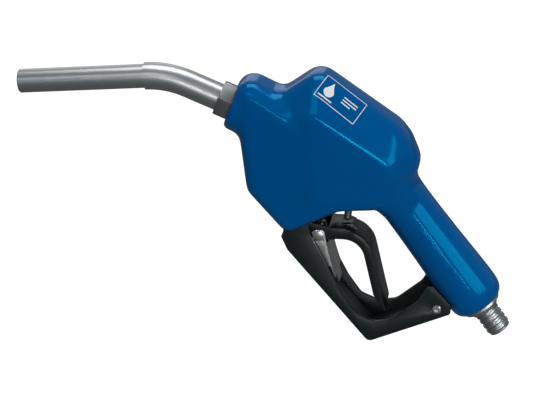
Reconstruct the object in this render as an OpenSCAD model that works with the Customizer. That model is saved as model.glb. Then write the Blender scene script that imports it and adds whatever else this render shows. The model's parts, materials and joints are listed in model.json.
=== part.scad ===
// Automatic shut-off nozzle for dispensing diesel exhaust fluid, with a lever, a hold-open
// clip, a lever guard and a soft cover over a cast body.
// The origin is the shoulder where the spout's tip tube enters its bent tube. +X runs along
// the tip tube towards the body, +Z is up, and the nozzle is symmetric about the XZ plane
// apart from the label.

/* [Spout] */
// Outer radius of the spout's tip tube
tip_r = 9.5; // [8:0.5:12.5]
// Length of the tip tube
tip_len = 103; // [80:1:130]
// Wall of both spout tubes
spout_wall = 1.3; // [1:0.1:1.8]
// Outer radius of the bent tube
bend_tube_r = 10.9; // [10.8:0.1:11.4]
// Radius of the bend, at the middle of the tube
bend_r = 75; // [65:1:95]
// Angle of the bend
bend_angle = 27; // [24:0.5:30]
// Straight tube between the bend and the nut
bend_straight = 26; // [20:1:34]

/* [Spout nut] */
// Size of the nut across its flats
nut_af = 27; // [26:0.5:29]
// Length of the hexagon
nut_len = 16; // [14:0.5:18]

/* [Handle] */
// Angle of the handle below the tip tube
handle_angle = 58.5; // [57:0.5:60]
// Radius of the grip where it leaves the body
grip_r_top = 20.3; // [20:0.1:22]
// Radius of the grip near the hose
grip_r_end = 22.8; // [22:0.1:24]

/* [Cover] */
// Half the width of the cover over the main valve
cover_half_w = 31; // [30:0.5:34]
// Half the width of the cover's front
cover_front_half_w = 26; // [26:0.5:28]
// Wall of the soft cover
cover_wall = 2.6; // [2:0.1:2.8]

/* [Main valve] */
// Radius of the valve stem
stem_r = 3; // [2.5:0.1:3.4]
// Radius of the hole in the valve seat
seat_r = 8.5; // [7.5:0.1:9]
// Tilt of the valve towards the handle
valve_tilt = 12; // [11:0.5:13]

/* [Lever] */
// Width of the lever
lever_w = 30; // [26:0.5:30]
// Thickness of the lever's sheet
lever_wall = 2.5; // [2:0.1:3]
// Depth of the lever's channel
lever_depth = 7; // [6:0.2:8]
// Radius of the lever's bow, on the fingers' side
lever_bow_r = 17; // [15:0.5:19]

/* [Guard] */
// Half the width of the guard
guard_half_w = 21.5; // [21.5:0.1:22]
// Thickness of the guard's sheet
guard_wall = 3; // [2.4:0.1:3]

/* [Hose tail] */
// Radius of the barbs
barb_r = 10; // [9.4:0.1:11]
// Radius of the hole through the hose tail
tail_bore_r = 7; // [6:0.1:7.5]
// Distance from one barb to the next
barb_pitch = 4.8; // [4.4:0.2:6]
// Number of barbs
barb_count = 4; // [2:1:5]

/* [Hidden] */
$fn = 64;

eps = 0.02;             // overlap of cutters past the faces that they cut
fit = 0.05;             // clearance of a running or seated fit, on the radius
loose = 0.5;            // clearance of pieces that only pass one another
hull_fn = 32;           // facets of the spheres in a hull
joint = 0.3;            // overlap of a bent tube's straight stretches with its bend
joint_step = 0.03;      // the straight stretches are this much thicker at that overlap

// The spout's axis past the bend: its start is the nut's front face
nut_x = bend_r * sin(bend_angle) + bend_straight * cos(bend_angle);
nut_z = -bend_r * (1 - cos(bend_angle)) - bend_straight * sin(bend_angle);
spigot_len = 8;         // tip tube inside the bent tube
spigot_r = tip_r - 0.3;
tube_bore_r = tip_r - spout_wall;
bend_end = 30;          // end of the bent tube inside the body, from the nut's front
nut_thread_r = 12.5;
nut_thread_len = 9;
nut_chamfer = 1.6;

// The sensing tube lies along the bottom of the spout's bore
sense_r = 1.9;
sense_bore_r = 1.1;
sense_drop = tube_bore_r - sense_r - 0.3;
sense_port_x = -tip_len + 9;

// Neck of the body, along the spout's axis
neck_start = 16.2;
neck_end = 66;
neck_r = 16.5;
neck_ring_r = 18.1;
passage_r = 8;
check_bore_r = 10.5;    // chamber of the venturi check valve
check_start = 31;
check_end = 58;
spider_len = 3;
venturi_travel = 4;

// Main valve: distances run up its axis from the stem's foot
valve_x = 150;
valve_z = -127.6;
gland_start = 16;
gland_body = 20;
packing_start = 26;
packing_end = 30;
packing_r = 6;
housing_start = 33;
outlet_start = 37;
outlet_r = 10;
seat_start = 50;
seat_end = 53;
seat_out_r = 12;
chamber_r = 15;
chamber_end = 80;
housing_r = 18.5;
poppet_start = 55.5;
poppet_end = 60;
poppet_r = 11.5;
cap_seal_len = 1.5;
cap_len = 6;
cap_hex_len = 4;
cap_hex_r = 12.7;
gallery_offset = 21;
gallery_r = 7.5;
gallery_wall = 3;
gallery_start = 44;
gallery_end = 68;
cross_level = 62;
cross_r = 6.5;

// Hose end of the handle: distances run out along the handle's axis from here
hose_x = 252.3;
hose_z = -202.6;
grip_len = 108;
inlet_r = 10;
inlet_end = 139;
tube_r = 15.5;
tail_thread_r = 12.5;
tail_thread_len = 18;
casting_end = 3;        // the casting stops this far inside the cover
end_boss_r = 17.2;
collar_r = 15.8;
collar_out = 2.5;
seal_len = 1.5;

// Lever, plunger and latch: the lever turns on the plunger's foot
pivot_x = 113;
pivot_z = -127;
pivot_r = 3;
eye_r = 7;
plunger_r = 6;
plunger_top = 65;
plunger_drop = 6;
latch_travel = 4.5;     // the latch pin leaves the groove while the plunger drops
barrel_half = lever_w / 2 - lever_wall - 0.3;
bush_start = 13;
bush_end = 20;
spring_bore_r = 8.5;
collar_start = 40;
collar_end = 43;
guide_start = 44;
guide_end = 66.5;
plunger_housing_r = 11;
latch_level = 53;
latch_r = 2.5;
latch_tip = 3.2;        // distance of the latch pin's tip from the plunger's axis
groove_r = 2.7;
// The groove's upper side is a cone that pushes the latch pin out as the plunger drops
groove_cone = (plunger_r - groove_r) * plunger_drop / latch_travel + 0.3;

// Diaphragm chamber, along X at the latch pin's height
latch_z = pivot_z + latch_level;
cap_x = 79.5;
membrane_x = 92;
membrane_len = 1.5;
membrane_r = 17.8;
chamber_x_end = 101;
dia_chamber_r = 14;
dia_housing_r = 18;
dia_plate_r = 9;
dia_plate_len = 1.5;
cap_wall = 2.5;
cap_screw_r = 1.2;
cap_screw_circle = 16;  // radius of the ring of screws

// Lever's bow: where the lines along its two legs meet on the fingers' side
bow_x = 161.4;
bow_z = -138.9;
arm_angle = 4;          // of the front arm below +X
leg_angle = 82;         // of the tail below +X
tail_len = 51;          // straight tail below the bow
web_start_x = 137;
pad_half = 6;           // of the pad that lifts the valve stem

// Hold-open clip
clip_x = 128.6;
clip_z = -133.2;
clip_pin_r = 2.5;
clip_wall = 1.5;
clip_in = lever_w / 2 + 0.4;
clip_head_r = 5.5;

// Notches in the guard's floor that the clip's foot can stand in
floor_angle = 54.7;     // of the guard's front floor below +X
notch_x = 131.6;
notch_z = -177.4;
notch_count = 3;
notch_pitch = 3.6;
notch_w = 2.2;
notch_depth = 1.2;

// Guard fixings
guard_in = guard_half_w - guard_wall;
front_bolt_x = 129;
front_bolt_z = -112;
rear_screw_x = 218.9;
rear_screw_z = -197.3;
screw_r = 2.5;
screw_head_r = 3.6;
sink_r = 4;             // countersunk heads of the front bolt
sink_depth = 1.5;
lug_r = 5.5;
lug_half = 9;

// ---------- helpers ----------

// Points of an arc about p from angle a to angle b
function arc(p, r, a, b, n = 8) =
    [for (i = [0:n]) p + r * [cos(a + (b - a) * i / n), sin(a + (b - a) * i / n)]];

// Direction in the XZ plane at an angle below +X
function below(a) = [cos(a), -sin(a)];

// Rounds one corner q of an outline between its neighbours p and s
function round_corner(p, q, s, r) =
    let (u = (p - q) / norm(p - q), v = (s - q) / norm(s - q), h = acos(u * v) / 2,
         c = q + (u + v) / norm(u + v) * r / sin(h),
         a = atan2((q + u * r / tan(h) - c)[1], (q + u * r / tan(h) - c)[0]),
         b = atan2((q + v * r / tan(h) - c)[1], (q + v * r / tan(h) - c)[0]),
         turn = b - a > 180 ? b - a - 360 : b - a < -180 ? b - a + 360 : b - a)
    arc(c, r, a, a + turn, 6);

// An outline of [x, z, corner radius] points with its corners rounded
function rounded(pts) = [for (i = [0:len(pts) - 1])
    let (n = len(pts), p = pts[(i + n - 1) % n], q = pts[i], s = pts[(i + 1) % n])
    each q[2] == 0 ? [[q[0], q[1]]] :
        round_corner([p[0], p[1]], [q[0], q[1]], [s[0], s[1]], q[2])];

module on_spout(s = 0) {
    translate([nut_x, 0, nut_z]) rotate([0, 90 + bend_angle, 0]) translate([0, 0, s]) children();
}

module on_valve(t = 0, offset = 0) {
    translate([valve_x, 0, valve_z]) rotate([0, valve_tilt, 0]) translate([offset, 0, t])
        children();
}

module on_handle(z = 0) {
    translate([hose_x, 0, hose_z]) rotate([0, 90 + handle_angle, 0]) translate([0, 0, z])
        children();
}

module on_plunger(t = 0) {
    translate([pivot_x, 0, pivot_z + t]) children();
}

module on_latch(x = 0) {
    translate([x, 0, latch_z]) rotate([0, 90, 0]) children();
}

// A cylinder along Y, centred on the XZ plane
module cross_rod(x, z, r, half) {
    translate([x, half, z]) rotate([90, 0, 0]) cylinder(h = 2 * half, r = r);
}

// A plate of an XZ outline between two distances from the XZ plane, on both sides
module side_plates(y_in, y_out, outline) {
    for (side = [-1, 1])
        translate([0, side < 0 ? -y_in : y_out, 0]) rotate([90, 0, 0])
            linear_extrude(y_out - y_in) polygon(outline);
}

module mid_plate(half, outline) {
    translate([0, half, 0]) rotate([90, 0, 0]) linear_extrude(2 * half) polygon(outline);
}

module ring(r_out, r_in, h) {
    difference() {
        cylinder(h = h, r = r_out);
        translate([0, 0, -eps]) cylinder(h = h + 2 * eps, r = r_in);
    }
}

module revolve(profile) {
    rotate_extrude() polygon(profile);
}

// A rod between two XZ points
module rod_between(p, q, r) {
    d = q - p;
    translate([p[0], 0, p[1]]) rotate([0, 90 - atan2(d[1], d[0]), 0])
        cylinder(h = norm(d), r = r);
}

// A coil spring that stands on z = 0
module coil(r, wire_r, h, turns) {
    sides = 8;
    steps = turns * 12;
    pitch = (h - 2 * wire_r) / turns;
    rings = [for (i = [0:steps]) let (a = 360 * turns * i / steps, z = wire_r + pitch * turns * i / steps)
        [for (j = [0:sides - 1]) let (b = 360 * j / sides, d = r + wire_r * cos(b))
            [d * cos(a), d * sin(a), z + wire_r * sin(b)]]];
    points = [for (one = rings) each one];
    quads = [for (i = [0:steps - 1], j = [0:sides - 1])
        [i * sides + j, (i + 1) * sides + j, (i + 1) * sides + (j + 1) % sides, i * sides + (j + 1) % sides]];
    polyhedron(points, concat([[for (j = [sides - 1:-1:0]) sides - 1 - j]], quads,
        [[for (j = [0:sides - 1]) steps * sides + sides - 1 - j]]));
}

// ---------- spout ----------

module spout_tip_tube() {
    edge = 1;
    color("silver") difference() {
        rotate([0, 90, 0]) revolve(concat(
            [[tube_bore_r, spigot_len], [tube_bore_r, -tip_len + 0.3], [tube_bore_r + 0.3, -tip_len]],
            arc([tip_r - edge, -tip_len + edge], edge, -90, 0, 6),
            [[tip_r, 0], [spigot_r, 0], [spigot_r, spigot_len]]));
        translate([sense_port_x, 0, -tip_r - 1]) cylinder(h = tip_r, r = sense_r - 0.4);
    }
}

module bend_path(r) {
    translate([0, 0, -bend_r]) rotate([90, 0, 0]) rotate([0, 0, 90 - bend_angle])
        rotate_extrude(angle = bend_angle) translate([bend_r, 0]) circle(r);
    on_spout(-bend_straight - joint) cylinder(h = bend_straight + bend_end + joint, r = r + joint_step);
}

module spout_bend_tube() {
    color("lightgray") difference() {
        bend_path(bend_tube_r);
        bend_path(tube_bore_r);
        translate([-eps, 0, 0]) rotate([0, 90, 0]) cylinder(h = spigot_len + 0.2, r = spigot_r + fit);
        on_spout(bend_end - 1) cylinder(h = 2, r = tube_bore_r + joint_step);
        on_spout(seal_start) ring(bend_tube_r + 1, bend_tube_r - seal_groove, seal_w);
    }
}

seal_start = 26.6;
seal_w = 2.2;
seal_groove = 1.2;

module spout_seal_ring() {
    color("black") on_spout(seal_start + 0.1)
        ring(bend_tube_r, bend_tube_r - seal_groove + fit, seal_w - 0.2);
}

module sensing_tube() {
    r = bend_r - sense_drop;
    color("gainsboro") {
        difference() {
            union() {
                translate([sense_port_x - sense_r, 0, -sense_drop]) rotate([0, 90, 0])
                    cylinder(h = -sense_port_x + sense_r + joint, r = sense_r + joint_step);
                translate([0, 0, -bend_r]) rotate([90, 0, 0]) rotate([0, 0, 90 - bend_angle])
                    rotate_extrude(angle = bend_angle) translate([r, 0]) circle(sense_r);
                on_spout(-bend_straight - joint) translate([sense_drop, 0, 0])
                    cylinder(h = bend_straight + bend_end + joint - 2, r = sense_r + joint_step);
            }
            translate([sense_port_x, 0, -sense_drop]) rotate([0, 90, 0])
                cylinder(h = -sense_port_x + joint, r = sense_bore_r + joint_step);
            translate([sense_port_x, 0, -tip_r]) cylinder(h = tip_r - sense_drop, r = sense_bore_r);
            translate([0, 0, -bend_r]) rotate([90, 0, 0]) rotate([0, 0, 90 - bend_angle])
                rotate_extrude(angle = bend_angle) translate([r, 0]) circle(sense_bore_r);
            on_spout(-bend_straight - joint) translate([sense_drop, 0, 0])
                cylinder(h = bend_straight + bend_end + joint, r = sense_bore_r + joint_step);
        }
    }
}

module spout_nut() {
    corner_r = nut_af / 2 / cos(30);
    color("silver") on_spout() difference() {
        union() {
            intersection() {
                rotate([0, 0, 12]) cylinder(h = nut_len, r = corner_r, $fn = 6);
                revolve([[0, 0], [corner_r - nut_chamfer, 0], [corner_r + 0.2, nut_chamfer],
                    [corner_r + 0.2, nut_len], [0, nut_len]]);
            }
            cylinder(h = nut_len + nut_thread_len, r = nut_thread_r);
        }
        translate([0, 0, -eps]) cylinder(h = nut_len + nut_thread_len + 1, r = bend_tube_r + fit);
    }
}

// ---------- body ----------

// Where the passage from the neck turns down to the main valve
turn_point = [nut_x, nut_z] + 70 * below(bend_angle);
outlet_point = [valve_x, valve_z] + 43 * [sin(valve_tilt), cos(valve_tilt)];

module casting_mass() {
    on_spout(neck_start) cylinder(h = neck_end - neck_start, r = neck_r);
    on_spout(20) cylinder(h = 4, r = neck_ring_r);
    rod_between(turn_point - 18 * below(bend_angle), outlet_point, passage_r + 4);
    on_valve(housing_start) cylinder(h = chamber_end - housing_start, r = housing_r);
    on_valve(gland_body) cylinder(h = housing_start - gland_body + 1, r = packing_r + 3.5);
    on_valve(gallery_start - 4, gallery_offset)
        cylinder(h = gallery_end - gallery_start + 8, r = gallery_r + gallery_wall);
    on_handle(-inlet_end - 4) cylinder(h = inlet_end + 4 - casting_end, r = tube_r);
    on_handle(-casting_end - 22) cylinder(h = 22, r = end_boss_r);
    for (z = [-95, -60]) on_handle(z) cylinder(h = 5, r = 17.4);
    on_plunger(bush_start) cylinder(h = 57, r = plunger_housing_r);
    on_latch(membrane_x + membrane_len) cylinder(h = chamber_x_end + 3 - membrane_x, r = dia_housing_r);
    mid_plate(9, [[100, -60], [104, -113], [125, -113], [130, -116], [142, -100], [162, -100],
        [180, -88], [168, -60], [130, -50]]);
    cross_rod(front_bolt_x, front_bolt_z, lug_r, guard_in - 0.1);
    cross_rod(rear_screw_x, rear_screw_z, lug_r, guard_in - 0.1);
    mid_plate(lug_half, [[215, -193], [219.5, -201.4], [232, -197.3], [226, -180]]);
}

module casting_voids() {
    // Spout socket, check valve chamber and passage to the main valve
    on_spout(neck_start - 1) cylinder(h = nut_len + nut_thread_len - neck_start + 1.2,
        r = nut_thread_r + fit);
    on_spout(neck_start) cylinder(h = bend_end - neck_start + 0.2, r = bend_tube_r + fit);
    on_spout(bend_end) cylinder(h = check_end - bend_end, r = check_bore_r + fit);
    on_spout(check_end - 1) cylinder(h = 71 - check_end, r = passage_r);
    translate([turn_point[0], 0, turn_point[1]]) sphere(passage_r + 0.6);
    rod_between(turn_point, outlet_point, passage_r - 0.4);
    // Main valve
    on_valve(gland_body - eps) cylinder(h = packing_end - gland_body, r = packing_r);
    on_valve(packing_end - 1) cylinder(h = 10, r = stem_r + fit);
    on_valve(outlet_start) cylinder(h = seat_start - outlet_start + 1, r = outlet_r);
    on_valve(seat_start) cylinder(h = 10, r = seat_out_r + fit);
    on_valve(seat_end) cylinder(h = chamber_end, r = chamber_r);
    on_valve(chamber_end - cap_seal_len) cylinder(h = 5, r = chamber_r + cap_seal_len);
    on_valve(gallery_start, gallery_offset) cylinder(h = gallery_end - gallery_start, r = gallery_r);
    on_valve(cross_level) rotate([0, 90, 0]) cylinder(h = gallery_offset, r = cross_r);
    // Inlet through the handle
    on_handle(-inlet_end) cylinder(h = inlet_end, r = inlet_r);
    on_handle(-casting_end - tail_thread_len) cylinder(h = tail_thread_len + 1, r = tail_thread_r + fit);
    // Plunger and latch pin
    on_plunger(bush_start - 1) cylinder(h = guide_start - bush_start + 1, r = spring_bore_r);
    on_plunger(guide_start - 1) cylinder(h = guide_end - guide_start + 1, r = plunger_r + fit);
    on_latch(chamber_x_end - 1) cylinder(h = pivot_x - chamber_x_end, r = latch_r + fit);
    on_latch(membrane_x) cylinder(h = chamber_x_end - membrane_x, r = dia_chamber_r);
    on_latch(cap_x - 5) cylinder(h = membrane_x + membrane_len - cap_x + 5, r = dia_housing_r + fit);
    // Fixings
    cross_rod(front_bolt_x, front_bolt_z, screw_r + fit, 30);
    cross_rod(rear_screw_x, rear_screw_z, screw_r + fit, 30);
    for (a = [45:90:315]) on_latch(membrane_x) rotate([0, 0, a])
        translate([cap_screw_circle, 0, 0]) cylinder(h = 9, r = cap_screw_r);
}

module body_casting() {
    color("darkgray") difference() {
        casting_mass();
        casting_voids();
    }
}

// The cover's outer form, or with an inset the form of the space inside it
module cover_mass(inset) {
    w = cover_half_w;
    f = cover_front_half_w;
    ridge_r = 15 - inset;
    edge_r = 9 - inset;
    foot_r = 8 - inset;
    hull() for (side = [-1, 1]) {
        for (p = [[114, -30], [140, -17.5], [190, -58.5], [197, -78]])
            translate([p[0], side * 6, p[1]]) sphere(ridge_r, $fn = hull_fn);
        for (p = [[132, -29], [184, -69], [190, -82]])
            translate([p[0], side * (w - 9), p[1]]) sphere(edge_r, $fn = hull_fn);
        for (p = [[128, -101.5], [150, -102.3], [174, -102.3], [192, -92]])
            translate([p[0], side * (w - 10), p[1]]) sphere(foot_r, $fn = hull_fn);
    }
    hull() for (side = [-1, 1]) {
        for (p = [[86, -19], [100, -26]])
            translate([p[0], side * 10, p[1]]) sphere(12 - inset, $fn = hull_fn);
        for (p = [[82.5, -58], [83, -89], [106, -120.5]])
            translate([p[0], side * (f - 8), p[1]]) sphere(foot_r, $fn = hull_fn);
        for (p = [[128, -45], [145, -103]])
            translate([p[0], side * (w - 10), p[1]]) sphere(foot_r, $fn = hull_fn);
    }
    on_spout(11 + inset) cylinder(h = 40, r = 20.75 - inset);
    on_handle() revolve([[0, -inset], [16.5, -inset], [grip_r_end - 2 - inset, -3], [grip_r_end - inset, -10],
        [grip_r_end - inset, -20], [grip_r_top + 1 - inset, -60], [grip_r_top - inset, -grip_len],
        [grip_r_top - inset, -grip_len - 30], [0, -grip_len - 30]]);
}

module body_cover() {
    color("royalblue") difference() {
        cover_mass(0);
        cover_mass(cover_wall);
        // Mouth for the spout nut and mouth for the hose tail
        on_spout(0) cylinder(h = 20, r = neck_r + 0.4);
        on_handle(-8) cylinder(h = 20, r = collar_r + loose);
        // Underside: open for the guard, the plunger and the lever
        mid_plate(guard_half_w + loose, [[98, -140], [98, -118.5], [101, -115], [118, -103], [148, -96],
            [176, -96], [182, -113], [160, -140]]);
        // Slot for the guard's rear lug
        mid_plate(lug_half + loose, [[205, -192], [219, -214], [239, -204], [226, -178]]);
        mid_plate(guard_in - 3, [[210, -210], [210, -193], [233, -191], [233, -206]]);
        cross_rod(rear_screw_x, rear_screw_z, lug_r + loose, guard_in);
    }
}

module label_plate() {
    color("white") translate([label_pos[0], label_pos[1], label_pos[2]])
        rotate([0, label_turn, 0]) rotate([label_lean, 0, 0]) translate([-19, -9, 0]) cube([38, 18, 0.5]);
}

label_pos = [157.07, -23.37, -29.42];
label_lean = 57;
label_turn = 37.5;

// ---------- main valve ----------

module valve_seat() {
    color("silver") on_valve(seat_start) ring(seat_out_r, seat_r, seat_end - seat_start);
}

module valve_stem() {
    color("silver") on_valve() {
        revolve(concat(arc([0, stem_r], stem_r, -90, 0, 10), [[stem_r, poppet_end + 4],
            [stem_r - 0.6, poppet_end + 4.6], [0, poppet_end + 4.6]]));
    }
}

module valve_poppet() {
    color("dimgray") on_valve(poppet_start) difference() {
        union() {
            cylinder(h = poppet_end - poppet_start, r = poppet_r);
            cylinder(h = poppet_end - poppet_start + 4, r = stem_r + 2.5, $fn = 6);
        }
        translate([0, 0, -1]) cylinder(h = 12, r = stem_r + 0.01);
    }
}

module valve_seal() {
    color("black") on_valve(seat_end) ring(poppet_r - 0.5, stem_r + fit, poppet_start - seat_end);
}

module valve_spring() {
    color("silver") on_valve(poppet_end + fit)
        coil(8, 1, chamber_end - poppet_end - 2 * fit, 5);
}

module valve_cap() {
    color("darkgray") on_valve(chamber_end) union() {
        cylinder(h = cap_len, r = housing_r);
        translate([0, 0, cap_len]) cylinder(h = cap_hex_len, r = cap_hex_r, $fn = 6);
    }
}

module valve_cap_seal() {
    color("black") on_valve(chamber_end - cap_seal_len + fit)
        ring(chamber_r + cap_seal_len - fit, chamber_r, cap_seal_len - 2 * fit);
}

module stem_packing() {
    color("black") on_valve(packing_start) ring(packing_r - fit, stem_r + fit, packing_end - packing_start - fit);
}

module stem_gland_nut() {
    color("silver") on_valve(gland_start) difference() {
        union() {
            cylinder(h = gland_body - gland_start, r = 8.6, $fn = 6);
            cylinder(h = packing_start - gland_start, r = packing_r - fit);
        }
        translate([0, 0, -1]) cylinder(h = 20, r = stem_r + 0.35);
    }
}

// ---------- venturi check valve ----------

module venturi_seat() {
    color("silver") on_spout(check_end - 4) difference() {
        cylinder(h = 4, r = check_bore_r);
        translate([0, 0, -eps]) cylinder(h = 4 + 2 * eps, r1 = 7, r2 = 5.8);
    }
}

module venturi_poppet() {
    color("dimgray") on_spout(check_end - 4)
        revolve([[0, 2.5], [6, 2.5], [6.9, -1.6], [7.6, -2.4], [7.6, -4.4], [2, -4.4], [2, -20], [0, -20]]);
}

module venturi_spring() {
    color("silver") on_spout(check_start + spider_len + fit)
        coil(5.5, 0.6, check_end - 4 - 4.4 - check_start - spider_len - 2 * fit, 5);
}

module venturi_spider() {
    color("silver") on_spout(check_start) difference() {
        union() {
            ring(check_bore_r, check_bore_r - 1.6, spider_len);
            cylinder(h = spider_len, r = 4);
            for (a = [30:120:270]) rotate([0, 0, a]) translate([0, -1.2, 0])
                cube([check_bore_r - 0.8, 2.4, spider_len]);
        }
        translate([0, 0, -1]) cylinder(h = spider_len + 2, r = 2 + fit);
    }
}

// ---------- automatic shut-off ----------

module plunger() {
    color("silver") difference() {
        union() {
            on_plunger() revolve([[0, 0], [plunger_r, 0], [plunger_r, collar_start],
                [spring_bore_r - 0.4, collar_start], [spring_bore_r - 0.4, collar_end],
                [plunger_r, collar_end], [plunger_r, latch_level - latch_r - 0.3],
                [groove_r, latch_level - latch_r - 0.3], [groove_r, latch_level + latch_r],
                [plunger_r, latch_level + latch_r + groove_cone], [plunger_r, plunger_top],
                [0, plunger_top]]);
            cross_rod(pivot_x, pivot_z, plunger_r, barrel_half);
        }
        cross_rod(pivot_x, pivot_z, pivot_r + fit, barrel_half + 1);
    }
}

module plunger_spring() {
    color("silver") on_plunger(bush_end + fit)
        coil(7.25, 0.6, collar_start - bush_end - 2 * fit, 5);
}

module plunger_bush() {
    color("silver") on_plunger(bush_start - 3) difference() {
        union() {
            cylinder(h = 3, r = spring_bore_r + 1, $fn = 6);
            cylinder(h = bush_end - bush_start + 3, r = spring_bore_r - fit);
        }
        translate([0, 0, -1]) cylinder(h = 20, r = plunger_r + fit);
    }
}

module latch_pin() {
    color("silver") on_latch(membrane_x - dia_plate_len - 2)
        cylinder(h = pivot_x - latch_tip - membrane_x + dia_plate_len + 2, r = latch_r);
}

module diaphragm() {
    color("black") on_latch(membrane_x) difference() {
        ring(membrane_r, latch_r + fit, membrane_len);
        for (a = [45:90:315]) rotate([0, 0, a]) translate([cap_screw_circle, 0, -1])
            cylinder(h = membrane_len + 2, r = cap_screw_r + fit);
    }
}

module diaphragm_plates() {
    color("silver") for (x = [membrane_x - dia_plate_len, membrane_x + membrane_len])
        on_latch(x) ring(dia_plate_r, latch_r, dia_plate_len);
}

module diaphragm_spring() {
    color("silver") on_latch(cap_x + cap_wall + fit)
        coil(6, 0.5, membrane_x - dia_plate_len - cap_x - cap_wall - 2 * fit, 3);
}

module diaphragm_cap() {
    color("dimgray") on_latch(cap_x) difference() {
        cylinder(h = membrane_x - cap_x, r = dia_housing_r);
        translate([0, 0, cap_wall]) cylinder(h = 30, r = dia_chamber_r);
        for (a = [45:90:315]) rotate([0, 0, a]) translate([cap_screw_circle, 0, -1])
            cylinder(h = 30, r = cap_screw_r);
    }
}

module cap_screws() {
    color("silver") for (a = [45:90:315]) on_latch(cap_x) rotate([0, 0, a])
        translate([cap_screw_circle, 0, 0]) {
        translate([0, 0, -1.6]) cylinder(h = 1.6, r = 2);
        cylinder(h = membrane_x - cap_x + 7, r = cap_screw_r - 0.02);
    }
}

// ---------- lever and hold-open clip ----------

// The bow's centre and the ends of its arc on the fingers' side
function leg_normal(a) = [-sin(a), -cos(a)];
bow_n = leg_normal(arm_angle) + leg_normal(leg_angle);
bow_c = [bow_x, bow_z] + lever_bow_r * bow_n / (1 + leg_normal(arm_angle) * leg_normal(leg_angle));

// The lever's edge at a distance d outside the fingers' side, from the arm to the tail's end
function bow_edge(d, x0, tail) = concat(
    [let (q = bow_c - (lever_bow_r + d) * leg_normal(arm_angle))
        q - below(arm_angle) * (q[0] - x0)],
    arc(bow_c, lever_bow_r + d, 90 - arm_angle, 90 - leg_angle, 10),
    [bow_c - (lever_bow_r + d) * leg_normal(leg_angle) + tail * below(leg_angle)]);

tip_point = bow_c - (lever_bow_r + lever_depth - 1) * leg_normal(leg_angle) + tail_len * below(leg_angle);

function backwards(v) = [for (i = [len(v) - 1:-1:0]) v[i]];

lever_outline = concat(bow_edge(lever_depth, 128, tail_len - 2), [tip_point],
    backwards(bow_edge(0, 128, tail_len - 16)));
// The lever is a channel that is closed on the palm's side and open towards the fingers
lever_pocket = concat(bow_edge(lever_depth - lever_wall, web_start_x - 1, tail_len - 5),
    backwards(bow_edge(-3, web_start_x - 1, tail_len - 28)));
arm_pocket = [[web_start_x - 45, pivot_z + 15], [web_start_x, pivot_z + 15],
    [web_start_x, pivot_z - 25], [web_start_x - 45, pivot_z - 25]];
pad_outline = [[143, -137], [144, -131], [146, -128.4], [155, -128.9], [158, -132], [158, -139]];

// Front arm: from the eye at the pivot back to the bow
arm_outline = concat(arc([pivot_x, pivot_z], eye_r, 86, 266, 12),
    [[clip_x, clip_z - 4.8], [139, -138], [152, -136], [156, -132.2], [150, -129], [140, -128.2]]);

module lever() {
    color([0.1, 0.1, 0.1]) mid_plate(pad_half, pad_outline);
    color([0.1, 0.1, 0.1]) difference() {
        union() {
            mid_plate(lever_w / 2, lever_outline);
            mid_plate(lever_w / 2, arm_outline);
        }
        mid_plate(lever_w / 2 - lever_wall, lever_pocket);
        mid_plate(lever_w / 2 - lever_wall, arm_pocket);
        cross_rod(pivot_x, pivot_z, pivot_r + fit, lever_w);
        cross_rod(clip_x, clip_z, clip_pin_r + fit, lever_w);
    }
}

module lever_pivot_pin() {
    color("silver") cross_rod(pivot_x, pivot_z, pivot_r, lever_w / 2 + 1);
}

// An ear of the clip, and the tongue that joins both ears behind and stands on the guard's floor
clip_ear = rounded([[124, -128, 4], [133.6, -129, 3.5], [134.6, -142.1, 1], [137, -160.5, 0.5],
    [132.4, -160.5, 3], [124.9, -144.4, 2], [122.8, -136.9, 3]]);
clip_tongue = [[132.9, -143.5], [134.5, -143.5], [137.2, -159.2], [139.6, -170], [138, -170.4],
    [135.6, -159.6]];
clip_foot = [[138, -170.4], [139.6, -170], [141, -177], [139.2, -178.2]];
clip_foot_half = 8;

module hold_open_clip() {
    color("gainsboro") difference() {
        union() {
            side_plates(clip_in, clip_in + clip_wall, clip_ear);
            mid_plate(clip_in + clip_wall, clip_tongue);
            mid_plate(clip_foot_half, clip_foot);
        }
        cross_rod(clip_x, clip_z, clip_pin_r + fit, 30);
    }
}

module clip_pin() {
    color("silver") {
        cross_rod(clip_x, clip_z, clip_pin_r, clip_in + clip_wall + 0.2);
        for (side = [-1, 1]) translate([clip_x, side * (clip_in + clip_wall + 0.7), clip_z])
            rotate([90, 0, 0]) cylinder(h = 1.2, r = 4.6, center = true, $fn = 6);
    }
}

module clip_spring() {
    color("silver") for (side = [-1, 1]) translate([clip_x, side * 6 + 2.5, clip_z]) rotate([90, 0, 0])
        coil(3.5, 0.5, 5, 3);
}

// ---------- guard ----------

guard_outline = rounded([[101.6, -118, 2], [118, -106, 3], [133, -105.5, 3], [136, -110, 3],
    [134, -116, 3], [122, -120.5, 1], [122.6, -131.5, 4], [130, -149, 8], [144, -184, 10],
    [153.5, -200.5, 9], [167, -207.5, 9], [182, -206.5, 12], [204, -191, 12], [212.6, -178.5, 1],
    [217, -178, 1], [230.3, -195, 2], [229.3, -202.4, 3], [161.8, -225.2, 5], [103.2, -142.6, 5],
    [99.3, -131, 1], [101.6, -128.5, 0.5]]);
guard_pocket = [[80, -90], [80, -129.5], [103, -129.5], [106.2, -141.5], [162.8, -221.4],
    [240, -195.4], [240, -90]];

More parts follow.
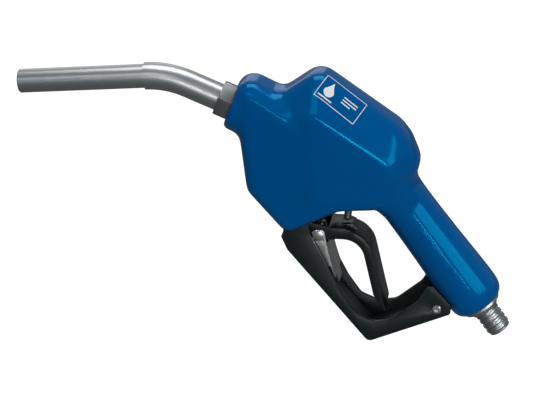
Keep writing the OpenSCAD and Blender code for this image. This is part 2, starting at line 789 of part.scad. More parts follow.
module lever_guard() {
    color([0.08, 0.1, 0.1]) difference() {
        mid_plate(guard_half_w, guard_outline);
        mid_plate(guard_in, guard_pocket);
        // Groove in the floor that clears the casting's rear lug
        cross_rod(rear_screw_x, rear_screw_z, lug_r + loose, guard_in);
        for (i = [0:notch_count - 1])
            translate([notch_x + i * notch_pitch * cos(floor_angle), 0, notch_z - i * notch_pitch * sin(floor_angle)])
                rotate([0, floor_angle, 0]) cube([notch_w, 20, 2 * notch_depth], center = true);
        cross_rod(front_bolt_x, front_bolt_z, screw_r + fit, 30);
        for (turn = [-90, 90]) translate([front_bolt_x, 0, front_bolt_z]) rotate([turn, 0, 0])
            translate([0, 0, guard_half_w - sink_depth])
                cylinder(h = sink_depth + eps, r1 = screw_r + fit, r2 = sink_r + fit + eps);
        cross_rod(rear_screw_x, rear_screw_z, screw_r + fit, 30);
    }
}

module guard_screws() {
    color("silver") for (side = [-1, 1]) mirror([0, side < 0 ? 0 : 1, 0])
        translate([rear_screw_x, -guard_half_w, rear_screw_z]) rotate([-90, 0, 0]) difference() {
            union() {
                cylinder(h = 14, r = screw_r);
                translate([0, 0, -2]) revolve([[0, 0], [screw_head_r - 0.8, 0], [screw_head_r, 0.8],
                    [screw_head_r, 2], [0, 2]]);
            }
            translate([0, 0, -2.5]) cylinder(h = 1.8, r = 2, $fn = 6);
        }
}

module guard_front_bolt() {
    color("silver") {
        cross_rod(front_bolt_x, front_bolt_z, screw_r, guard_half_w - sink_depth);
        for (turn = [-90, 90]) translate([front_bolt_x, 0, front_bolt_z]) rotate([turn, 0, 0])
            translate([0, 0, guard_half_w - sink_depth])
                cylinder(h = sink_depth, r1 = screw_r, r2 = sink_r);
    }
}

// ---------- hose end ----------

module hose_tail() {
    land = collar_out + 3.5;
    end = land + barb_count * barb_pitch + 2;
    color("silver") on_handle() difference() {
        revolve(concat([[0, -casting_end - tail_thread_len + 1], [tail_thread_r, -casting_end - tail_thread_len + 1],
            [tail_thread_r, -casting_end + seal_len], [collar_r - 0.6, -casting_end + seal_len],
            [collar_r, -casting_end + seal_len + 0.6], [collar_r, collar_out - 0.6],
            [collar_r - 0.6, collar_out], [barb_r + 2.4, collar_out], [barb_r + 1.4, land]],
            [for (i = [0:barb_count - 1]) each barb(land + i * barb_pitch)],
            [[barb_r - 1.1, end - 0.4], [barb_r - 1.5, end], [0, end]]));
        translate([0, 0, -40]) cylinder(h = 90, r = tail_bore_r);
    }
}

// Barbs point away from the collar: the steep side faces it
function barb(z) = [[barb_r - 1.1, z + 0.2], [barb_r - 1.1, z + 2], [barb_r, z + 2],
    [barb_r, z + 3.4], [barb_r - 1, z + barb_pitch]];

module hose_tail_seal() {
    color("black") on_handle(-casting_end) ring(collar_r - 0.8, tail_thread_r + 0.1, seal_len);
}

module inlet_strainer() {
    start = casting_end + tail_thread_len;
    color("silver") on_handle(-start - 24) difference() {
        cylinder(h = 24, r = inlet_r - fit);
        translate([0, 0, 0.8]) cylinder(h = 30, r = inlet_r - 0.9);
        for (a = [0:45:315], z = [4, 13]) rotate([0, 0, a]) translate([5, -0.9, z]) cube([10, 1.8, 7]);
    }
}

spout_tip_tube();
spout_bend_tube();
spout_seal_ring();
sensing_tube();
spout_nut();
body_casting();
body_cover();
label_plate();
valve_seat();
valve_stem();
valve_poppet();
valve_seal();
valve_spring();
valve_cap();
valve_cap_seal();
stem_packing();
stem_gland_nut();
venturi_seat();
venturi_poppet();
venturi_spring();
venturi_spider();
plunger();
plunger_spring();
plunger_bush();
latch_pin();
diaphragm();
diaphragm_plates();
diaphragm_spring();
diaphragm_cap();
cap_screws();
lever();
lever_pivot_pin();
hold_open_clip();
clip_pin();
clip_spring();
lever_guard();
guard_screws();
guard_front_bolt();
hose_tail();
hose_tail_seal();
inlet_strainer();
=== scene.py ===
# %% [markdown]
# # A fuel nozzle with a soft blue cover
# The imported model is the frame: every piece sits in metres where the drawing puts it. This
# lesson gives each piece its real surface, and remodels the soft cover, which a drawing of
# plain solids can only hint at. The first cell loads the frame and must come first.

# %% Load the frame
import json
import math
import bpy
from mathutils import Matrix, Vector


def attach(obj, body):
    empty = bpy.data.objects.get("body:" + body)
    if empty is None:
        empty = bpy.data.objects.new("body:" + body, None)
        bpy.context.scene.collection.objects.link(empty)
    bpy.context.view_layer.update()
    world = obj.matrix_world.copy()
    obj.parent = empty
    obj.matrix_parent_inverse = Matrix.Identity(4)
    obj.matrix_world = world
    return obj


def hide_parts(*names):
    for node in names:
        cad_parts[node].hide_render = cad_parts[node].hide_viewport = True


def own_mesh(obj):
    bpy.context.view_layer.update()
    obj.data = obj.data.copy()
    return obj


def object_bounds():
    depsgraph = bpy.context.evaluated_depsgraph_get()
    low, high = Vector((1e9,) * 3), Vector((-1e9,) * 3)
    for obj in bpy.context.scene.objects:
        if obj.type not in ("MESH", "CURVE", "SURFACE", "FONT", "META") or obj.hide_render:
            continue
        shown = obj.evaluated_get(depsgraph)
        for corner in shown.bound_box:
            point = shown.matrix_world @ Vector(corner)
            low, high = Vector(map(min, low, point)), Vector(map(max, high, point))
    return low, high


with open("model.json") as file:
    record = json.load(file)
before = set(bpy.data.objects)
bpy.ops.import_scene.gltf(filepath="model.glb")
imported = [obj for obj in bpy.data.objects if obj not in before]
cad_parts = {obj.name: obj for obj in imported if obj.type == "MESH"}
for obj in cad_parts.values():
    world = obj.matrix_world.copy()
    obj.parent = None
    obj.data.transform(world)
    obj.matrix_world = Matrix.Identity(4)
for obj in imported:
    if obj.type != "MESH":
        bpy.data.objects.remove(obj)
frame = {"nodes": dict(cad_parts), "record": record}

DRAWING_BOX = [list(corner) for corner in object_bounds()]
NODES = frame["nodes"]
MM = 0.001
SAME_POINT = 0.01 * MM
print("nodes", len(NODES), "box", DRAWING_BOX)

# %% [markdown]
# ## Camera
# A product camera stands well back with a long lens, so that near and far parts keep nearly
# the same size. Here its three directions are written out, because it is also rolled a
# little: a look-at constraint would give the aim but not the roll.

# %% Camera
AIM = Vector((0.0868, 0.0, -0.1085))
TO_CAMERA = Vector((0.18418, -0.90866, 0.37471))
CAMERA_RIGHT = Vector((0.98253, 0.15988, -0.09523))
CAMERA_UP = Vector((0.02662, 0.38570, 0.92224))
CAMERA_DISTANCE = 1.5
LENS = 126.4


def turned_to(right, up, back, place):
    """A matrix whose columns are three directions and a place."""
    return Matrix([[right[i], up[i], back[i], place[i]] for i in range(3)] + [[0, 0, 0, 1]])


camera_data = bpy.data.cameras.new("camera")
camera_data.lens = LENS
camera_data.clip_start, camera_data.clip_end = 0.05, 20
camera = bpy.data.objects.new("camera", camera_data)
bpy.context.scene.collection.objects.link(camera)
camera_place = AIM + TO_CAMERA * CAMERA_DISTANCE
camera.matrix_world = turned_to(CAMERA_RIGHT, CAMERA_UP, TO_CAMERA, camera_place)
bpy.context.scene.camera = camera
print("camera at", [round(v, 3) for v in camera.location])

# %% [markdown]
# ## Working by hand, in code
# Operators act on whatever is selected, so each step starts by selecting one thing only.
# The next helpers do what a hand does at the screen: pick one object, apply a modifier, join
# pieces, and set a piece down in its final position.

# %% Helpers for selecting and applying


def pick(piece):
    """Selects one object only and makes it active."""
    if bpy.context.mode != "OBJECT":
        bpy.ops.object.mode_set(mode="OBJECT")
    bpy.ops.object.select_all(action="DESELECT")
    piece.select_set(True)
    bpy.context.view_layer.objects.active = piece


def nothing():
    """Deselects everything before a primitive is added."""
    if bpy.context.mode != "OBJECT":
        bpy.ops.object.mode_set(mode="OBJECT")
    bpy.ops.object.select_all(action="DESELECT")


def apply_modifier(piece, kind, **values):
    """Adds a modifier, sets its values and applies it."""
    pick(piece)
    modifier = piece.modifiers.new(kind.lower(), kind)
    for name, value in values.items():
        setattr(modifier, name, value)
    bpy.ops.object.modifier_apply(modifier=modifier.name)


def settle(piece, place=(0, 0, 0), tilt=0.0):
    """Turns a piece about Y, moves it to its place in millimetres and applies both."""
    pick(piece)
    piece.rotation_euler = (0, math.radians(tilt), 0)
    piece.location = [v * MM for v in place]
    bpy.ops.object.transform_apply(location=True, rotation=True, scale=True)


def outward(piece):
    """Merges doubles and points every face outwards."""
    pick(piece)
    bpy.ops.object.mode_set(mode="EDIT")
    bpy.ops.mesh.select_all(action="SELECT")
    bpy.ops.mesh.remove_doubles(threshold=SAME_POINT)
    bpy.ops.mesh.normals_make_consistent(inside=False)
    bpy.ops.object.mode_set(mode="OBJECT")


def join(name, pieces):
    """Joins several objects into one mesh."""
    nothing()
    for piece in pieces:
        piece.select_set(True)
    bpy.context.view_layer.objects.active = pieces[0]
    bpy.ops.object.join()
    pieces[0].name = pieces[0].data.name = name
    return pieces[0]


def report(piece):
    """Prints the size of a finished piece."""
    low, high = [[f(v.co[i] for v in piece.data.vertices) for i in range(3)] for f in (min, max)]
    size = [round((b - a) / MM, 1) for a, b in zip(low, high)]
    print(piece.name, "size in mm", size, "faces", len(piece.data.polygons))


print("helpers ready")

# %% [markdown]
# ## Round pieces
# A turned piece is a circle that is extruded step by step along its axis, with each new ring
# resized. That is how a lathe drawing reads: a list of heights and radii. The ring is closed
# at both ends where the piece is solid.

# %% Helper for turned pieces


def turned(name, profile, sides=64, close=True):
    """A round piece about Z from (height, radius) steps in millimetres."""
    nothing()
    height, radius = profile[0]
    bpy.ops.mesh.primitive_circle_add(vertices=sides, radius=radius * MM,
        fill_type="NGON" if close else "NOTHING", location=(0, 0, height * MM))
    piece = bpy.context.object
    piece.name = piece.data.name = name
    bpy.ops.object.transform_apply(location=True, rotation=True, scale=True)
    bpy.ops.object.mode_set(mode="EDIT")
    bpy.ops.mesh.select_all(action="SELECT")
    for next_height, next_radius in profile[1:]:
        bpy.ops.mesh.extrude_region_move(
            TRANSFORM_OT_translate={"value": (0, 0, (next_height - height) * MM)})
        ratio = next_radius / radius
        bpy.ops.transform.resize(value=(ratio, ratio, 1), center_override=(0, 0, next_height * MM))
        height, radius = next_height, next_radius
    bpy.ops.object.mode_set(mode="OBJECT")
    outward(piece)
    return piece


print("turned pieces ready")

# %% [markdown]
# ## The soft cover
# The real cover is a thick vinyl jacket, dipped or moulded, pulled over the casting. Its
# outside has flat flanks, a rounded hump over the valve, a nose round the spout nut and a
# grip that runs into the hump without a step. It could be made with subdivision surfaces,
# but the blends between the parts are easier with lumps that are stretched over balls,
# merged by a voxel remesh and then softened, which is close to how the mould flows.

# %% Places that the cover is built round
NUT_FRONT = (57.2, 0, -20.0)
SPOUT_TILT = 117.0
HOSE_END = (252.3, 0, -202.6)
HANDLE_TILT = 148.5
COVER_WALL = 2.6
print("cover wall", COVER_WALL)

# %% Helper for a lump stretched over balls


def lump(name, balls):
    """A convex skin over mirrored pairs of balls, each (x, half width, z, radius) in mm."""
    made = []
    for x, half, z, radius in balls:
        for side in (-1, 1):
            nothing()
            bpy.ops.mesh.primitive_uv_sphere_add(segments=32, ring_count=16, radius=radius * MM,
                location=(x * MM, side * half * MM, z * MM))
            made.append(bpy.context.object)
    piece = join(name, made)
    bpy.ops.object.transform_apply(location=True, rotation=True, scale=True)
    bpy.ops.object.mode_set(mode="EDIT")
    bpy.ops.mesh.select_all(action="SELECT")
    bpy.ops.mesh.convex_hull()
    bpy.ops.object.mode_set(mode="OBJECT")
    outward(piece)
    return piece


# %% Lumps of the cover
hump = lump("cover_hump", [
    (113, 6, -30, 15), (138, 6, -15, 15), (187.7, 6, -56, 15), (193, 6, -64, 15), (197, 6, -77, 15),
    (131, 22, -33, 8), (138, 22.5, -32, 8), (188, 22, -70.5, 9), (191, 21, -82, 9),
    (128, 22, -101.5, 8), (150, 22, -102.5, 8), (173, 22, -102.5, 8), (190, 18, -94, 8)])
nose = lump("cover_nose", [
    (84, 8, -17, 13), (100, 10, -26, 12), (82.5, 18, -57, 8), (83, 18, -89, 8),
    (106, 18, -120, 8), (128, 22, -45, 8), (145, 22, -103, 8)])
shoulder = lump("cover_shoulder", [
    (189, 19, -84, 9), (176, 20, -99, 8), (196.5, 0.5, -111.5, 20.3), (191, 6, -88, 12)])
neck = turned("cover_neck", [(11, 18.6), (11.8, 20), (13.5, 20.75), (51, 20.75)])
settle(neck, NUT_FRONT, SPOUT_TILT)
grip = turned("cover_grip", [
    (0, 17.5), (-0.8, 19.2), (-2.6, 20.8), (-6, 22), (-10, 22.7), (-20, 22.8),
    (-40, 22.1), (-60, 21.3), (-85, 20.6), (-108, 20.4), (-138, 20.3)])
settle(grip, HOSE_END, HANDLE_TILT)
cover = join("cover_skin", [hump, nose, shoulder, neck, grip])
report(cover)

# %% [markdown]
# Growing the merged skin, remeshing it and shrinking it again fills the inner corners with a
# soft fillet and leaves the outer edges nearly as they were. A few rounds of smoothing then
# take off the last facets.

# %% Melt the lumps into one skin
FILLET = 7 * MM
GRAIN = 1.5 * MM
MELT_ROUNDS, SOFTEN_ROUNDS = 4, 18
apply_modifier(cover, "REMESH", mode="VOXEL", voxel_size=GRAIN)
apply_modifier(cover, "DISPLACE", strength=FILLET, mid_level=0)
apply_modifier(cover, "REMESH", mode="VOXEL", voxel_size=GRAIN)
apply_modifier(cover, "SMOOTH", factor=0.5, iterations=MELT_ROUNDS)
apply_modifier(cover, "DISPLACE", strength=-FILLET, mid_level=0)
apply_modifier(cover, "REMESH", mode="VOXEL", voxel_size=GRAIN)
apply_modifier(cover, "SMOOTH", factor=0.5, iterations=SOFTEN_ROUNDS)
report(cover)

# %% [markdown]
# The openings are cut with solid cutters. Each cutter carries its own material, so the faces
# that it leaves behind can be found by that material and deleted. What stays is an open
# skin, and Solidify gives it the wall of a real jacket.

# %% Helper for a flat-sided cutter


def slab(name, outline, half):
    """A prism of an XZ outline in millimetres, of that half width along Y."""
    nothing()
    bpy.ops.mesh.primitive_circle_add(vertices=len(outline), radius=0.01, fill_type="NGON")
    piece = bpy.context.object
    piece.name = piece.data.name = name
    for vertex, (x, z) in zip(piece.data.vertices, outline):
        vertex.co = (x * MM, -half * MM, z * MM)
    bpy.ops.object.mode_set(mode="EDIT")
    bpy.ops.mesh.select_all(action="SELECT")
    bpy.ops.mesh.extrude_region_move(TRANSFORM_OT_translate={"value": (0, 2 * half * MM, 0)})
    bpy.ops.object.mode_set(mode="OBJECT")
    outward(piece)
    return piece


# %% Cut the openings
opened = bpy.data.materials.new("opened")
vinyl = bpy.data.materials.new("cover_vinyl_blue")
cover.data.materials.append(vinyl)
SPOUT_MOUTH_R, HOSE_MOUTH_R = 16.9, 16.3
spout_mouth = turned("spout_mouth", [(-5, SPOUT_MOUTH_R), (18, SPOUT_MOUTH_R)])
settle(spout_mouth, NUT_FRONT, SPOUT_TILT)
hose_mouth = turned("hose_mouth", [(-5, HOSE_MOUTH_R), (18, HOSE_MOUTH_R)])
settle(hose_mouth, HOSE_END, HANDLE_TILT)
underside = slab("underside", [(101, -140), (99, -118), (118, -107), (148, -98), (170, -98),
    (172, -112), (160, -140)], 21)
rear_slot = slab("rear_slot", [(205, -192), (219, -214), (239, -204), (226, -178)], 9.5)
for cutter in (spout_mouth, hose_mouth, underside, rear_slot):
    cutter.data.materials.append(opened)
    apply_modifier(cover, "BOOLEAN", operation="DIFFERENCE", object=cutter, solver="EXACT",
        material_mode="TRANSFER")
    bpy.data.objects.remove(cutter)
print("cover materials", [m.name for m in cover.data.materials])

# %% Open the skin and give it a wall
pick(cover)
bpy.ops.object.mode_set(mode="EDIT")
bpy.ops.mesh.select_all(action="DESELECT")
bpy.ops.object.mode_set(mode="OBJECT")
cut_slots = [i for i, m in enumerate(cover.data.materials) if m == opened]
for face in cover.data.polygons:
    face.select = face.material_index in cut_slots
bpy.ops.object.mode_set(mode="EDIT")
bpy.ops.mesh.delete(type="FACE")
bpy.ops.mesh.select_all(action="SELECT")
bpy.ops.mesh.remove_doubles(threshold=SAME_POINT * 10)
bpy.ops.object.mode_set(mode="OBJECT")
apply_modifier(cover, "SOLIDIFY", thickness=COVER_WALL * MM, offset=-1)
cover.data.materials.clear()
cover.data.materials.append(vinyl)
pick(cover)
bpy.ops.object.shade_smooth_by_angle(angle=math.radians(50))
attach(cover, "nozzle_body")
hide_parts("body_cover")
report(cover)

# %% [markdown]
# ## The label
# The real label is a print on the flank of the hump: a thin frame with a mark inside. A flat
# print is drawn first as small even faces, then projected along its own depth onto the curved
# vinyl, so that it follows the surface without sinking in or standing off.

# %% Where the label lies
LABEL_CENTRE = Vector((155.2, -15.7, -20.6))
LABEL_ALONG = Vector((29.9, -5.0, -23.4)).normalized()
LABEL_UP = Vector((12.5, 14.0, 10.3))
LABEL_OUT = LABEL_ALONG.cross(LABEL_UP).normalized()
LABEL_UP = LABEL_OUT.cross(LABEL_ALONG)
LABEL_LONG, LABEL_HIGH, LABEL_LINE = 37.5, 20.0, 0.55
LABEL_LIFT, INK_GAP, INK_DEPTH = 8, 0.12 * MM, 0.1 * MM
print("label faces", [round(v, 2) for v in LABEL_OUT])

# %% Helpers for printed marks


def bar(x, y, long, high, cuts):
    """A printed bar, split into short steps so that it can follow a curve."""
    nothing()
    bpy.ops.mesh.primitive_grid_add(x_subdivisions=cuts[0], y_subdivisions=cuts[1], size=MM,
        location=(x * MM, y * MM, 0))
    bpy.ops.transform.resize(value=(long, high, 1))
    bpy.ops.object.transform_apply(location=True, rotation=True, scale=True)
    return bpy.context.object


def drop(x, y, radius):
    """A printed drop: a disc whose uppermost points are drawn out to a tip."""
    nothing()
    bpy.ops.mesh.primitive_circle_add(vertices=48, radius=radius * MM, fill_type="TRIFAN")
    piece = bpy.context.object
    for vertex in piece.data.vertices:
        rise = vertex.co.y / (radius * MM)
        if rise > 0:
            vertex.co.x *= 1 - 0.75 * rise ** 1.3
            vertex.co.y *= 1 + 0.9 * rise ** 2
    bpy.ops.object.mode_set(mode="EDIT")
    bpy.ops.mesh.select_all(action="SELECT")
    bpy.ops.mesh.subdivide(number_cuts=5)
    bpy.ops.object.mode_set(mode="OBJECT")
    piece.location = (x * MM, y * MM, 0)
    bpy.ops.object.transform_apply(location=True, rotation=True, scale=True)
    return piece


# %% Print the label
half_long, half_high = LABEL_LONG / 2, LABEL_HIGH / 2
marks = []
for side in (-1, 1):
    marks.append(bar(0, side * half_high, LABEL_LONG + LABEL_LINE, LABEL_LINE, (60, 1)))
for side in (-1, 1):
    marks.append(bar(side * half_long, 0, LABEL_LINE, LABEL_HIGH - LABEL_LINE, (1, 32)))
marks += [drop(-10.5, -1.6, 4.4), bar(-10.5, -7.6, 12.5, 1.1, (20, 2))]
marks += [bar(8.0, height, 13.0, 0.9, (20, 2)) for height in (2.6, 0.2)]
marks += [bar(5.6, -2.2, 8.2, 0.9, (14, 2))]
label = join("label_marks", marks)
label_place = (LABEL_CENTRE + LABEL_OUT * LABEL_LIFT) * MM
label.matrix_world = turned_to(LABEL_ALONG, LABEL_UP, LABEL_OUT, label_place)
apply_modifier(label, "SHRINKWRAP", target=cover, wrap_method="PROJECT", use_project_z=True,
    use_positive_direction=False, use_negative_direction=True, offset=INK_GAP)
pick(label)
bpy.ops.object.transform_apply(location=True, rotation=True, scale=True)
apply_modifier(label, "SOLIDIFY", thickness=INK_DEPTH, offset=-1)
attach(label, "nozzle_body")
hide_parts("label_plate")
report(label)

# %% [markdown]
# ## Moulded and stamped pieces
# The lever, its guard and the clip already have their true shape in the drawing, but every
# edge there is a knife edge. A real moulding has a small radius that catches the light. A
# merged copy of the drawing's mesh, with flat faces dissolved into one face each, takes a
# bevel well, and the copy then stands for the drawn piece.

# %% Helper for a copy with softened edges


def softened(name, node, body, edge, steps=2, angle=35):
    """A merged copy of a drawn node with bevelled edges, which replaces it."""
    nothing()
    mesh = NODES[node].data.copy()
    piece = bpy.data.objects.new(name, mesh)
    bpy.context.scene.collection.objects.link(piece)
    pick(piece)
    bpy.ops.mesh.customdata_custom_splitnormals_clear()
    bpy.ops.object.mode_set(mode="EDIT")
    bpy.ops.mesh.select_all(action="SELECT")
    bpy.ops.mesh.remove_doubles(threshold=SAME_POINT)
    bpy.ops.mesh.dissolve_limited(angle_limit=math.radians(1))
    bpy.ops.object.mode_set(mode="OBJECT")
    apply_modifier(piece, "BEVEL", width=edge * MM, segments=steps, limit_method="ANGLE",
        angle_limit=math.radians(angle), harden_normals=False)
    apply_modifier(piece, "TRIANGULATE")
    bpy.ops.object.shade_smooth_by_angle(angle=math.radians(40))
    mesh.materials.clear()
    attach(piece, body)
    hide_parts(node)
    report(piece)
    return piece


# %% Guard, lever, clip and nut
guard = softened("guard_moulding", "lever_guard", "nozzle_body", 0.6)
lever = softened("lever_moulding", "lever", "lever", 0.5)
clip = softened("clip_stamping", "hold_open_clip", "hold_open_clip", 0.25)
clip_nuts = softened("clip_nuts", "clip_pin", "lever", 0.15)
nut = softened("nut_turning", "spout_nut", "nozzle_body", 0.35)

# %% [markdown]
# ## Springs
# A coil spring inside the nozzle shortens as its valve or plunger moves. Here each coil is a
# merged copy of the drawn spring, set on the nozzle body in its place. Its fixed
# end is always the one that the moving part travels towards.

# %% Helper for a spring coil


def coil_that_shortens(name, node):
    """A merged copy of a drawn spring, which replaces it on the nozzle body."""
    nothing()
    piece = bpy.data.objects.new(name, NODES[node].data.copy())
    bpy.context.scene.collection.objects.link(piece)
    pick(piece)
    bpy.ops.mesh.customdata_custom_splitnormals_clear()
    bpy.ops.object.mode_set(mode="EDIT")
    bpy.ops.mesh.select_all(action="SELECT")
    bpy.ops.mesh.remove_doubles(threshold=SAME_POINT / 2)
    bpy.ops.object.mode_set(mode="OBJECT")
    bpy.ops.object.shade_smooth_by_angle(angle=math.radians(50))
    piece.data.materials.clear()
    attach(piece, "nozzle_body")
    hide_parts(node)
    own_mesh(piece)
    return piece


# %% Four springs
coils = [
    coil_that_shortens("main_valve_coil", "valve_spring"),
    coil_that_shortens("venturi_coil", "venturi_spring"),
    coil_that_shortens("plunger_coil", "plunger_spring"),
    coil_that_shortens("diaphragm_coil", "diaphragm_spring")]

# %% [markdown]
# ## Finishes
# Each finish is a small network of nodes on the Object coordinates, so the pattern stays on
# the piece. One noise shifts the colour slightly, one shifts the roughness, and one gives a
# fine bump. Values that are the same everywhere sit on the shader itself.

# %% Helper for a finish
# A colour Mix node has sockets for other kinds too, so its colour ones are found by number
MIX_FACTOR, MIX_A, MIX_B, MIX_COLOUR = 0, 6, 7, 2


def finish(name, dark, light, rough, metal=0.0, stretch=(1, 1, 1), turn=0.0, grain=400.0,
        bump=0.15, depth=0.00005, cloud=25.0, specular=0.5, tint=None, coat=0.0, material=None):
    """A shader whose colour, roughness and bump each follow a noise of their own."""
    made = material or bpy.data.materials.new(name)
    made.use_nodes = True
    tree = made.node_tree
    shader = tree.nodes["Principled BSDF"]
    shader.inputs["Metallic"].default_value = metal
    shader.inputs["Specular IOR Level"].default_value = specular
    shader.inputs["Coat Weight"].default_value = coat
    shader.inputs["Coat Roughness"].default_value = 0.08
    if tint:
        shader.inputs["Specular Tint"].default_value = (*tint, 1)
    coordinates = tree.nodes.new("ShaderNodeTexCoord")
    mapping = tree.nodes.new("ShaderNodeMapping")
    mapping.inputs["Rotation"].default_value = (0, math.radians(turn), 0)
    mapping.inputs["Scale"].default_value = stretch
    tree.links.new(coordinates.outputs["Object"], mapping.inputs["Vector"])

    def noise(scale, detail):
        node = tree.nodes.new("ShaderNodeTexNoise")
        node.inputs["Scale"].default_value = scale
        node.inputs["Detail"].default_value = detail
        tree.links.new(mapping.outputs["Vector"], node.inputs["Vector"])
        return node.outputs["Fac"]

    colour = tree.nodes.new("ShaderNodeMix")
    colour.data_type = "RGBA"
    colour.inputs[MIX_A].default_value = (*dark, 1)
    colour.inputs[MIX_B].default_value = (*light, 1)
    tree.links.new(noise(cloud, 4), colour.inputs[MIX_FACTOR])
    tree.links.new(colour.outputs[MIX_COLOUR], shader.inputs["Base Color"])
    spread = tree.nodes.new("ShaderNodeMapRange")
    spread.inputs["To Min"].default_value = rough[0]
    spread.inputs["To Max"].default_value = rough[1]
    tree.links.new(noise(cloud * 3, 3), spread.inputs["Value"])
    tree.links.new(spread.outputs["Result"], shader.inputs["Roughness"])
    relief = tree.nodes.new("ShaderNodeBump")
    relief.inputs["Strength"].default_value = bump
    relief.inputs["Distance"].default_value = depth
    tree.links.new(noise(grain, 3), relief.inputs["Height"])
    tree.links.new(relief.outputs["Normal"], shader.inputs["Normal"])
    return made


# %% Metals
ALONG = 0.02
metals = {
    "spout_steel": finish("spout_brushed_steel", (0.46, 0.49, 0.50), (0.60, 0.63, 0.64),
        (0.30, 0.40), metal=1, stretch=(ALONG, 1, 1), grain=900, bump=0.12, cloud=140),
    "nut_steel": finish("nut_turned_steel", (0.26, 0.29, 0.30), (0.36, 0.39, 0.40), (0.30, 0.42),
        metal=1, stretch=(1, 1, 0.1), turn=-27, grain=900, bump=0.25, cloud=90),
    "tail_steel": finish("tail_turned_steel", (0.46, 0.48, 0.49), (0.60, 0.62, 0.63), (0.26, 0.36),
        metal=1, grain=700, bump=0.08, cloud=60),
    "machined_steel": finish("machined_steel", (0.26, 0.27, 0.27), (0.40, 0.41, 0.41), (0.22, 0.36),
        metal=1, grain=800, bump=0.2, cloud=80),
    "spring_steel": finish("drawn_wire", (0.35, 0.35, 0.36), (0.55, 0.55, 0.57), (0.25, 0.40),
        metal=1, grain=1200, bump=0.2, cloud=200),
    "screw_steel": finish("plated_screws", (0.55, 0.55, 0.54), (0.72, 0.72, 0.70), (0.22, 0.34),
        metal=1, grain=900, bump=0.25, cloud=120),
    "clip_steel": finish("stamped_clip", (0.56, 0.57, 0.57), (0.70, 0.71, 0.71), (0.24, 0.34),
        metal=1, stretch=(1, 1, 0.1), grain=900, bump=0.2, cloud=90),
    "cast_alloy": finish("cast_alloy", (0.36, 0.37, 0.39), (0.50, 0.51, 0.53), (0.45, 0.62),
        metal=0.9, grain=500, bump=0.6, depth=0.0002, cloud=40),
}
print("metals", len(metals))

# %% Vinyl, plastics and rubber
BLUE_DEEP, BLUE_FULL = (0.0, 0.084, 0.290), (0.0, 0.102, 0.345)
others = {
    "cover_vinyl": finish("cover_vinyl_blue", BLUE_DEEP, BLUE_FULL, (0.10, 0.17), grain=260,
        bump=0.12, depth=0.0003, cloud=14, tint=(0.0, 0.6, 1.0), specular=0.7, material=vinyl),
    "label_print": finish("label_white", (0.80, 0.82, 0.84), (0.90, 0.92, 0.94), (0.30, 0.45),
        grain=900),
    "valve_plastic": finish("valve_natural", (0.66, 0.65, 0.60), (0.78, 0.77, 0.73),
        (0.40, 0.55), grain=600),
    "lever_plastic": finish("lever_black", (0.002, 0.005, 0.006), (0.005, 0.009, 0.010),
        (0.26, 0.38), grain=700, bump=0.3, depth=0.0001),
    "guard_plastic": finish("guard_black", (0.002, 0.007, 0.008), (0.004, 0.011, 0.012),
        (0.30, 0.42), grain=700, bump=0.3, depth=0.0001),
    "seal_rubber": finish("seal_rubber", (0.012, 0.012, 0.012), (0.024, 0.024, 0.024), (0.55, 0.75),
        grain=500, bump=0.5, depth=0.0002, specular=0.3),
}
finishes = {**metals, **others}
print("finishes", len(finishes))

# %% Put the finishes on
slot_of = {row["node"]: row["material_slot"] for row in frame["record"]["subparts"]}
for node_name, node in NODES.items():
    for material_slot in node.material_slots:
        material_slot.material = finishes[slot_of[node_name]]
remodelled = [(guard, "guard_plastic"), (lever, "lever_plastic"), (clip, "clip_steel"),
    (nut, "nut_steel"), (label, "label_print"), (clip_nuts, "screw_steel")]
remodelled += [(coil, "spring_steel") for coil in coils]
for piece, slot_name in remodelled:
    piece.data.materials.append(finishes[slot_name])
print("nodes with a finish", len(slot_of))

# %% [markdown]
# ## Floor and light
# A plain pale floor lies below the nozzle, far enough down that its shadow stays faint. Gloss
# shows where lights are, so each light stands where a surface mirrors it to the camera: one
# softbox gives the broad band on the grip, a strip its thin bright line, another strip the
# line along the hump's edge, and a dim world fills the rest.

# %% Floor
FLOOR_GAP = 0.09
nothing()
bpy.ops.mesh.primitive_plane_add(size=12, location=(AIM.x, 0, DRAWING_BOX[0][2] - FLOOR_GAP))
floor = bpy.context.object
floor.name = "floor"
paper = bpy.data.materials.new("paper")
paper.use_nodes = True
paper_shader = paper.node_tree.nodes["Principled BSDF"]
paper_shader.inputs["Base Color"].default_value = (0.16, 0.16, 0.16, 1)
paper_shader.inputs["Roughness"].default_value = 0.9
paper_shader.inputs["Emission Color"].default_value = (1, 1, 1, 1)
direct = paper.node_tree.nodes.new("ShaderNodeLightPath")
paper.node_tree.links.new(direct.outputs["Is Camera Ray"], paper_shader.inputs["Emission Strength"])
floor.data.materials.append(paper)
print("floor at", round(floor.location.z, 3))

# %% Helpers for lights


def area_light(name, back, up, distance, width, height, power):
    """A light in a direction from the nozzle, whose height lies along another direction."""
    back = back.normalized()
    up = (up - back * up.dot(back)).normalized()
    data = bpy.data.lights.new(name, "AREA")
    data.shape, data.size, data.size_y, data.energy = "RECTANGLE", width, height, power
    light = bpy.data.objects.new(name, data)
    bpy.context.scene.collection.objects.link(light)
    light.matrix_world = turned_to(up.cross(back), up, back, AIM + back * distance)
    return light


def mirrored(sweep):
    """The direction that the grip mirrors to the camera, sweep degrees round from its middle."""
    facing = (TO_CAMERA - GRIP_ALONG * TO_CAMERA.dot(GRIP_ALONG)).normalized()
    beside = facing.cross(GRIP_ALONG)
    normal = facing * math.cos(math.radians(sweep)) + beside * math.sin(math.radians(sweep))
    return (normal * (2 * normal.dot(TO_CAMERA)) - TO_CAMERA).normalized()


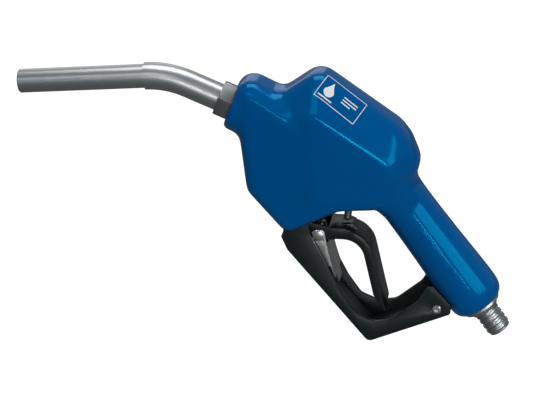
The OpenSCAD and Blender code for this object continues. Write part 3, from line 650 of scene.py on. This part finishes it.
def grip_softbox(name, first, last, distance, length, power):
    """A softbox whose mirror image lies on the grip between two sweeps."""
    width = 2 * distance * math.tan(math.radians(abs(last - first)))
    return area_light(name, mirrored((first + last) / 2), -GRIP_ALONG, distance, width, length, power)


GRIP_FALL = math.radians(58.5)
GRIP_ALONG = Vector((math.cos(GRIP_FALL), 0, -math.sin(GRIP_FALL)))
print("grip runs along", [round(v, 3) for v in GRIP_ALONG])

# %% Lights
ACROSS = Vector((1, 0, 0))
HUMP_EDGE = Vector((-0.779, 0, 0.628))
TOP_RISE = math.radians(75)
from_top = TO_CAMERA * math.cos(TOP_RISE) + CAMERA_UP * math.sin(TOP_RISE)
grip_softbox("key", 4, 24, 1.25, 0.62, 5.2)
grip_softbox("strip", -8, -6, 1.3, 0.62, 2.2)
area_light("spout_light", Vector((-0.184, -0.75, 0.60)), ACROSS, 1.4, 0.3, 0.6, 0.9)
area_light("edge", Vector((0.155, -0.986, 0.063)), HUMP_EDGE, 1.3, 0.05, 1.2, 2.5)
area_light("top", from_top, -CAMERA_RIGHT, 1.3, 0.6, 1.0, 7)
area_light("back", Vector((-0.25, 0.85, 0.5)), ACROSS, 1.6, 0.8, 1.2, 2.2)

# %% World
world = bpy.context.scene.world or bpy.data.worlds.new("world")
bpy.context.scene.world = world
world.use_nodes = True
tree = world.node_tree
tree.nodes.clear()
seen = tree.nodes.new("ShaderNodeLightPath")
shade = tree.nodes.new("ShaderNodeMix")
shade.data_type = "RGBA"
shade.inputs[MIX_A].default_value = (0.20, 0.207, 0.215, 1)
shade.inputs[MIX_B].default_value = (1.0, 1.0, 1.0, 1)
background = tree.nodes.new("ShaderNodeBackground")
output = tree.nodes.new("ShaderNodeOutputWorld")
tree.links.new(seen.outputs["Is Camera Ray"], shade.inputs[MIX_FACTOR])
tree.links.new(shade.outputs[MIX_COLOUR], background.inputs["Color"])
tree.links.new(background.outputs["Background"], output.inputs["Surface"])
bpy.context.scene.view_settings.view_transform = "Standard"
print("world ready")
